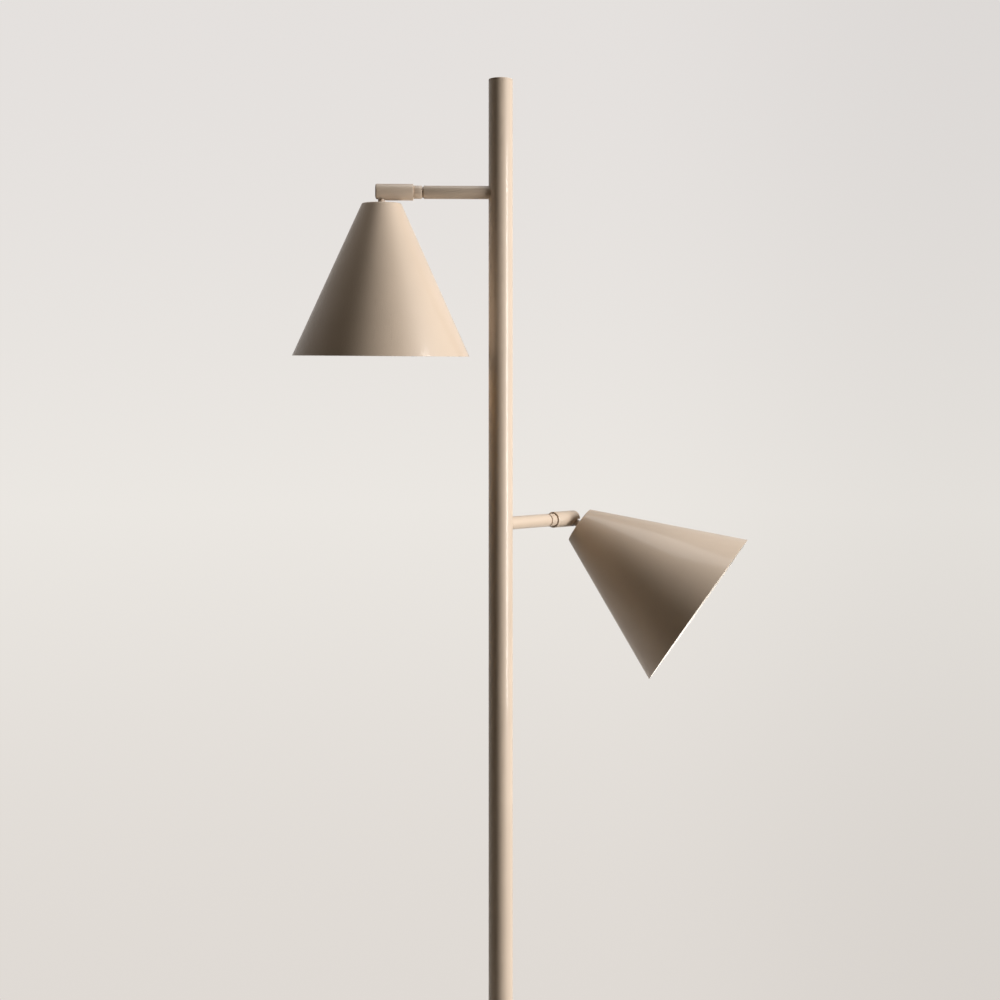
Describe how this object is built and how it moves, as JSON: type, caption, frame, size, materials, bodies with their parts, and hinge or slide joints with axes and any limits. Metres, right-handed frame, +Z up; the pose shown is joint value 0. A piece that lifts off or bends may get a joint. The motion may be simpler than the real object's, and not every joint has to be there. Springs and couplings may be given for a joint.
{
  "type": "two-arm floor lamp",
  "caption": "Free-standing floor lamp with a round weighted base, a slim pole and short arms, each with a cone shade on a turning barrel and a slotted ball joint.",
  "frame": {"origin": "on the floor at the pole's axis", "axes": "+Z up along the pole, -X along the upper arm, the front of the lamp towards -Y"},
  "size_m": [0.4266, 0.2573, 1.5],
  "materials": {
    "taupe_paint": "satin",
    "zinc": "satin",
    "dark_steel": "satin",
    "iron": "matte",
    "pad_rubber": "matte",
    "black_rubber": "matte",
    "brass": "satin",
    "nickel": "satin",
    "white_plastic": "satin",
    "nylon": "satin",
    "ceramic": "matte",
    "opal_glass": "satin",
    "cable": "matte"
  },
  "bodies": {
    "stand": {"floor_pad": "pad_rubber", "closing_plate": "zinc", "closing_screws": "zinc", "base_weight": "iron", "base_cover": "taupe_paint", "base_stud": "zinc", "base_washer": "zinc", "base_nut": "zinc", "terminal_block": "white_plastic", "terminal_barrels": "brass", "terminal_screws": "zinc", "cable_bush": "black_rubber", "pole_foot_bush": "zinc", "pole_lower_tube": "taupe_paint", "pole_joiner": "zinc", "pole_upper_tube": "taupe_paint", "pole_cap": "taupe_paint", "upper_arm_anchor": "zinc", "upper_arm_nipple": "zinc", "upper_arm_tube": "taupe_paint", "upper_arm_cable": "cable", "upper_swivel_stub": "taupe_paint", "lower_arm_anchor": "zinc", "lower_arm_nipple": "zinc", "lower_arm_tube": "taupe_paint", "lower_arm_cable": "cable", "lower_swivel_stub": "taupe_paint"},
    "upper_swivel": {"upper_swivel_barrel": "taupe_paint", "upper_stop_screw": "dark_steel", "upper_disc_springs": "zinc", "upper_ball_cup": "nylon"},
    "upper_head": {"upper_ball_stud": "taupe_paint", "upper_shade": "taupe_paint", "upper_shade_washer": "zinc", "upper_shade_nut": "zinc", "upper_holder_cap": "white_plastic", "upper_holder_body": "white_plastic", "upper_holder_core": "ceramic", "upper_holder_contacts": "brass", "upper_bulb_screw": "nickel", "upper_bulb_glass": "opal_glass", "upper_head_cable": "cable"},
    "lower_swivel": {"lower_swivel_barrel": "taupe_paint", "lower_stop_screw": "dark_steel", "lower_disc_springs": "zinc", "lower_ball_cup": "nylon"},
    "lower_head": {"lower_ball_stud": "taupe_paint", "lower_shade": "taupe_paint", "lower_shade_washer": "zinc", "lower_shade_nut": "zinc", "lower_holder_cap": "white_plastic", "lower_holder_body": "white_plastic", "lower_holder_core": "ceramic", "lower_holder_contacts": "brass", "lower_bulb_screw": "nickel", "lower_bulb_glass": "opal_glass", "lower_head_cable": "cable"}
  },
  "joints": [
    {"name": "upper_swivel_turn", "type": "hinge", "parent": "stand", "child": "upper_swivel", "pos_m": [-0.108, 0, 1.397], "axis": [1, 0, 0], "range_deg": [-162.2, 157.8]},
    {"name": "upper_shade_tilt", "type": "hinge", "parent": "upper_swivel", "child": "upper_head", "pos_m": [-0.108, 0, 1.397], "axis": [0, 0.9993, 0.0384], "range_deg": [-0.3, 89.7]},
    {"name": "lower_swivel_turn", "type": "hinge", "parent": "stand", "child": "lower_swivel", "pos_m": [0.07014, 0.08212, 1.096], "axis": [-0.6494, -0.7604, 0], "range_deg": [-212.2, 107.8]},
    {"name": "lower_shade_tilt", "type": "hinge", "parent": "lower_swivel", "child": "lower_head", "pos_m": [0.07014, 0.08212, 1.096], "axis": [0.4661, -0.3981, 0.7902], "range_deg": [-21.8, 68.2]}
  ]
}
